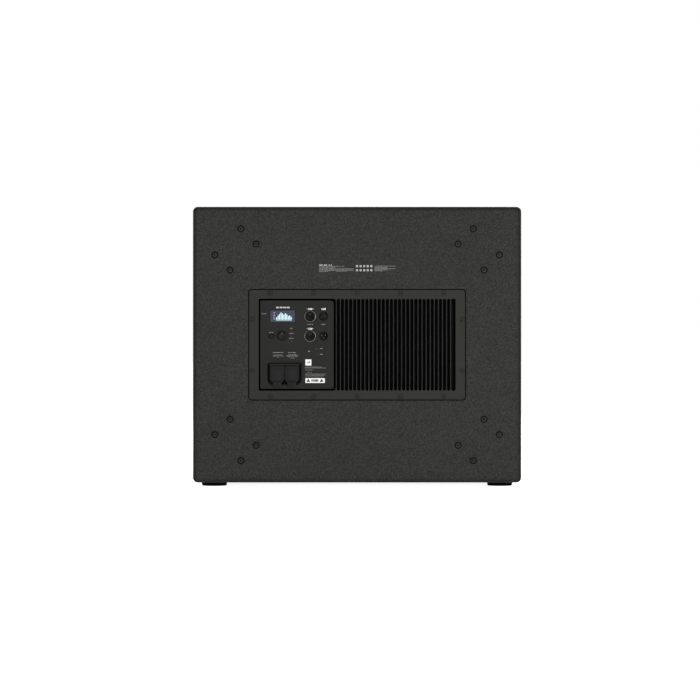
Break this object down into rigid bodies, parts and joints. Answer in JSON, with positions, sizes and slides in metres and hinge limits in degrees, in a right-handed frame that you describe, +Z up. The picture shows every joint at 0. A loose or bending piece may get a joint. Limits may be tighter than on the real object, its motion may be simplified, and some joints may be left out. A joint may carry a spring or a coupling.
{
  "type": "powered subwoofer",
  "caption": "Box-shaped powered subwoofer cabinet with a finned amplifier and control panel in its rear face, a full front grille, side handles and rubber feet.",
  "frame": {"origin": "on the floor at the middle of the footprint", "axes": "+Z up, the front grille faces -Y and the amplifier panel faces +Y, so +X is on the left of someone who looks at the amplifier panel"},
  "size_m": [0.68, 0.76, 0.579],
  "materials": {
    "coated_panel": "textured black-grey polyurea coating on birch plywood",
    "bare_ply": "unfinished birch plywood",
    "grille_steel": "black powder coat on perforated steel",
    "black_steel": "black powder coat, semi-matt",
    "foam": "open-cell acoustic foam",
    "rubber": "moulded black rubber, matt",
    "zinc_steel": "zinc-plated steel",
    "flange_coat": "smooth charcoal powder coat",
    "panel_coat": "dark smooth powder coat with light print",
    "anodised": "black anodised extrusion",
    "black_plastic": "moulded black plastic",
    "bright_metal": "satin nickel on die-cast zinc",
    "display_glass": "backlit graphic display window",
    "light_guide": "clear light pipe",
    "circuit_board": "glass-epoxy board with its parts",
    "cone_paper": "treated paper pulp",
    "cone_cloth": "doped cloth",
    "spider_cloth": "phenolic-dipped cotton",
    "coil_copper": "copper winding on a former",
    "ferrite": "sintered ferrite"
  },
  "bodies": {
    "cabinet": {"top_panel": "coated_panel", "bottom_panel": "coated_panel", "left_side_panel": "coated_panel", "right_side_panel": "coated_panel", "rear_panel": "coated_panel", "front_baffle": "coated_panel", "left_port_wall": "bare_ply", "right_port_wall": "bare_ply", "cross_brace": "bare_ply", "front_grille": "grille_steel", "pole_socket": "black_steel", "left_handle": "black_steel", "right_handle": "black_steel", "woofer_basket": "black_steel", "grille_foam": "foam", "foot_front_left": "rubber", "foot_front_right": "rubber", "foot_rear_left": "rubber", "foot_rear_right": "rubber", "power_cover_frame": "rubber", "woofer_gasket": "rubber", "speaker_lead": "rubber", "caster_plate_lower_left": "zinc_steel", "caster_plate_lower_right": "zinc_steel", "caster_plate_upper_left": "zinc_steel", "caster_plate_upper_right": "zinc_steel", "amp_chassis": "zinc_steel", "encoder_body": "zinc_steel", "top_plate": "zinc_steel", "back_plate": "zinc_steel", "amp_flange": "flange_coat", "control_panel": "panel_coat", "heat_sink": "anodised", "xlr_input": "black_plastic", "xlr_link_output": "black_plastic", "mains_socket_block": "black_plastic", "display_module": "black_plastic", "upper_network_socket": "bright_metal", "lower_network_socket": "bright_metal", "display_lens": "display_glass", "status_light_guide": "light_guide", "network_light_guide": "light_guide", "amp_board": "circuit_board", "power_supply": "circuit_board", "control_board": "circuit_board", "woofer_surround": "cone_cloth", "spider": "spider_cloth", "magnet_ring": "ferrite"},
    "cone_assembly": {"woofer_cone": "cone_paper", "dust_cap": "cone_paper", "voice_coil": "coil_copper"},
    "encoder_push": {"encoder_plunger": "black_plastic"},
    "control_knob": {"encoder_shaft": "zinc_steel", "encoder_knob": "black_plastic"},
    "back_key": {"back_button": "black_plastic"},
    "upper_network_tab": {"upper_network_latch": "bright_metal"},
    "lower_network_tab": {"lower_network_latch": "bright_metal"},
    "xlr_tab": {"xlr_latch": "bright_metal"},
    "inlet_flap": {"inlet_cover_flap": "rubber"},
    "outlet_flap": {"outlet_cover_flap": "rubber"}
  },
  "joints": [
    {"name": "cone_stroke", "type": "slide", "parent": "cabinet", "child": "cone_assembly", "axis": [0, -1, 0], "range_m": [-0.012, 0.012], "stiffness_N_per_m": 8000, "deforming": ["woofer_surround", "spider"]},
    {"name": "encoder_press", "type": "slide", "parent": "cabinet", "child": "encoder_push", "axis": [0, -1, 0], "range_m": [0, 0.0008], "stiffness_N_per_m": 4000},
    {"name": "encoder_turn", "type": "hinge", "parent": "encoder_push", "child": "control_knob", "pos_m": [0.155, 0.372, 0.3114], "axis": [0, 1, 0], "continuous": true},
    {"name": "back_button_press", "type": "slide", "parent": "cabinet", "child": "back_key", "axis": [0, -1, 0], "range_m": [0, 0.001], "stiffness_N_per_m": 2500},
    {"name": "upper_network_latch_press", "type": "slide", "parent": "cabinet", "child": "upper_network_tab", "axis": [0, -1, 0], "range_m": [0, 0.0015], "stiffness_N_per_m": 2000},
    {"name": "lower_network_latch_press", "type": "slide", "parent": "cabinet", "child": "lower_network_tab", "axis": [0, -1, 0], "range_m": [0, 0.0015], "stiffness_N_per_m": 2000},
    {"name": "xlr_latch_press", "type": "slide", "parent": "cabinet", "child": "xlr_tab", "axis": [0, -1, 0], "range_m": [0, 0.0015], "stiffness_N_per_m": 2000},
    {"name": "inlet_flap_lift", "type": "hinge", "parent": "cabinet", "child": "inlet_flap", "pos_m": [0.1655, 0.3758, 0.2503], "axis": [1, 0, 0], "range_deg": [0, 110], "stiffness_Nm_per_rad": 0.02},
    {"name": "outlet_flap_lift", "type": "hinge", "parent": "cabinet", "child": "outlet_flap", "pos_m": [0.135, 0.3758, 0.2503], "axis": [1, 0, 0], "range_deg": [0, 110], "stiffness_Nm_per_rad": 0.02}
  ]
}
